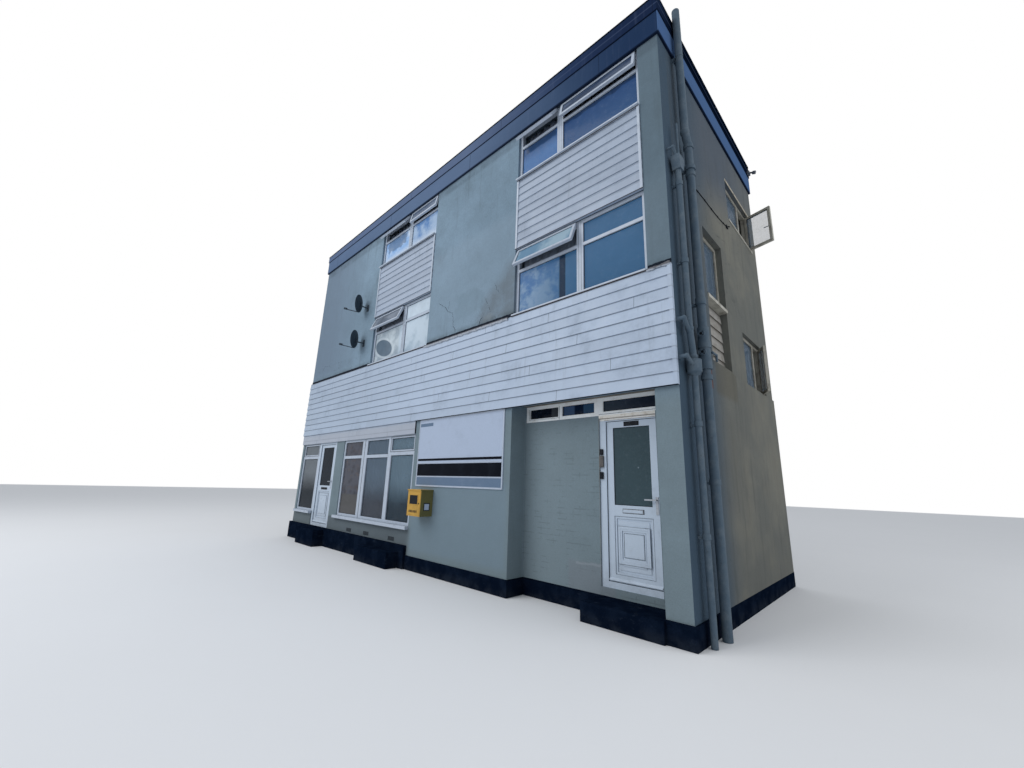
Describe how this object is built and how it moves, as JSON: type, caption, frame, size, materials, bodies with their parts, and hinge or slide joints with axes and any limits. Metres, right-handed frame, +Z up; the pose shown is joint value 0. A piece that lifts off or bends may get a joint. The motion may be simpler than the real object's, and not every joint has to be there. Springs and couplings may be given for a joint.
{
  "type": "corner shop building",
  "caption": "Narrow three-storey corner building with a shopfront, a recessed entrance, boarded window bays and a deep white cladding band under grey render.",
  "frame": {"origin": "middle of the building plan, at the lowest ground level, on the underside of the ground floor", "axes": "+X runs along the street front from left to right as seen from the street, +Y runs from the street front into the building, +Z is up"},
  "size_m": [11.1964, 4.9372, 8.57],
  "materials": {
    "front_render": "rough painted cement render, grey-green, cracked and stained",
    "side_render": "rough cement render, weathered brown-grey",
    "plinth_paint": "dark masonry paint, scuffed",
    "floor_concrete": "bare concrete",
    "roof_felt": "mineral roofing felt",
    "white_boards": "white overlapping boards, dirty",
    "window_frames": "white plastic frames, slightly dirty",
    "window_glass": "clear glass with a bluish reflection",
    "obscured_glass": "dark patterned glass",
    "fascia_paint": "dark blue paint on smooth board, chalky",
    "capping_metal": "dark metal edge trim",
    "door_metal": "satin metal",
    "sign_face": "white painted sheet",
    "cabinet_yellow": "faded yellow plastic",
    "dish_metal": "dark grey paint",
    "painted_pipe": "pipe painted like the wall",
    "stained_timber": "brown stained timber"
  },
  "bodies": {
    "building": {"ground_floor": "floor_concrete", "first_floor": "floor_concrete", "second_floor": "floor_concrete", "roof_deck": "roof_felt", "plinth": "plinth_paint", "front_steps": "plinth_paint", "front_piers": "front_render", "sign_wall": "front_render", "stall_riser": "front_render", "shop_lintel": "front_render", "recess_wall": "front_render", "recess_rail": "stained_timber", "spandrel_wall": "front_render", "upper_front_wall": "front_render", "bay_infill": "side_render", "bay_panels": "white_boards", "left_wall": "side_render", "right_wall": "side_render", "rear_wall": "side_render", "cladding_band": "white_boards", "fascia_lower": "fascia_paint", "fascia_upper": "fascia_paint", "roof_capping": "capping_metal", "shop_board": "white_boards", "shop_windows": "window_frames", "front_glass": "window_glass", "door_frames": "window_frames", "first_windows": "window_frames", "second_windows": "window_frames", "open_sashes": "window_frames", "upper_glass": "window_glass", "window_sills": "window_frames", "side_windows": "window_frames", "side_cladding": "white_boards", "sign_board": "sign_face", "wall_cabinet": "cabinet_yellow", "satellite_dishes": "dish_metal", "soil_stack": "painted_pipe", "downpipe": "painted_pipe"},
    "shop_door": {"shop_door": "window_frames", "shop_door_glass": "window_glass", "shop_door_fittings": "door_metal"},
    "entrance_door": {"entrance_door": "window_frames", "entrance_door_glass": "obscured_glass", "entrance_door_fittings": "door_metal"}
  },
  "joints": [
    {"name": "shop_door_hinge", "type": "hinge", "parent": "building", "child": "shop_door", "pos_m": [-4.142, -2.103, 1.4135], "axis": [0, 0, 1], "range_deg": [0, 90]},
    {"name": "entrance_door_hinge", "type": "hinge", "parent": "building", "child": "entrance_door", "pos_m": [4.162, -1.753, 1.388], "axis": [0, 0, 1], "range_deg": [0, 90]}
  ]
}
